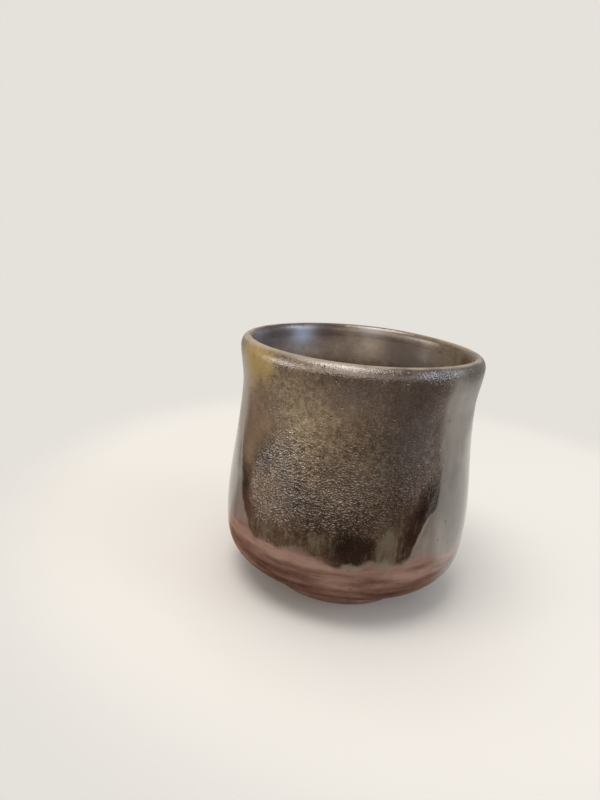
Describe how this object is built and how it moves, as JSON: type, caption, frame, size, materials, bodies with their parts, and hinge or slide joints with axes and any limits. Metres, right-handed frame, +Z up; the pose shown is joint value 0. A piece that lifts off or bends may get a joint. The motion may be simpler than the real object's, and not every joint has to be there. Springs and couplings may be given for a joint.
{
  "type": "handleless cup",
  "caption": "Handleless thrown stoneware cup with a round belly, narrow waist, rolled lip and turned foot ring, coated inside and out with glossy brown and grey glazes.",
  "frame": {"origin": "centre of the foot ring's underside, on the surface that the cup stands on", "axes": "+Z up along the cup's axis; -Y towards the side that the picture shows, with the front pour of dark glaze; +X to its right"},
  "size_m": [0.0866, 0.0874, 0.0869],
  "materials": {
    "clay": "bare fired stoneware, matt and slightly gritty",
    "liner_glaze": "glossy grey-brown glaze, cloudy",
    "base_glaze": "smooth glossy grey glaze, warmer brown near the foot",
    "dark_glaze": "glossy dark brown iron glaze with orange peel and ochre flecks",
    "lip_glaze": "glossy brown glaze, thin and paler along the top of the lip"
  },
  "bodies": {
    "root": {"clay_body": "clay", "foot_ring": "clay", "liner_glaze": "liner_glaze", "base_glaze": "base_glaze", "dark_glaze": "dark_glaze", "lip_glaze": "lip_glaze"}
  },
  "joints": []
}
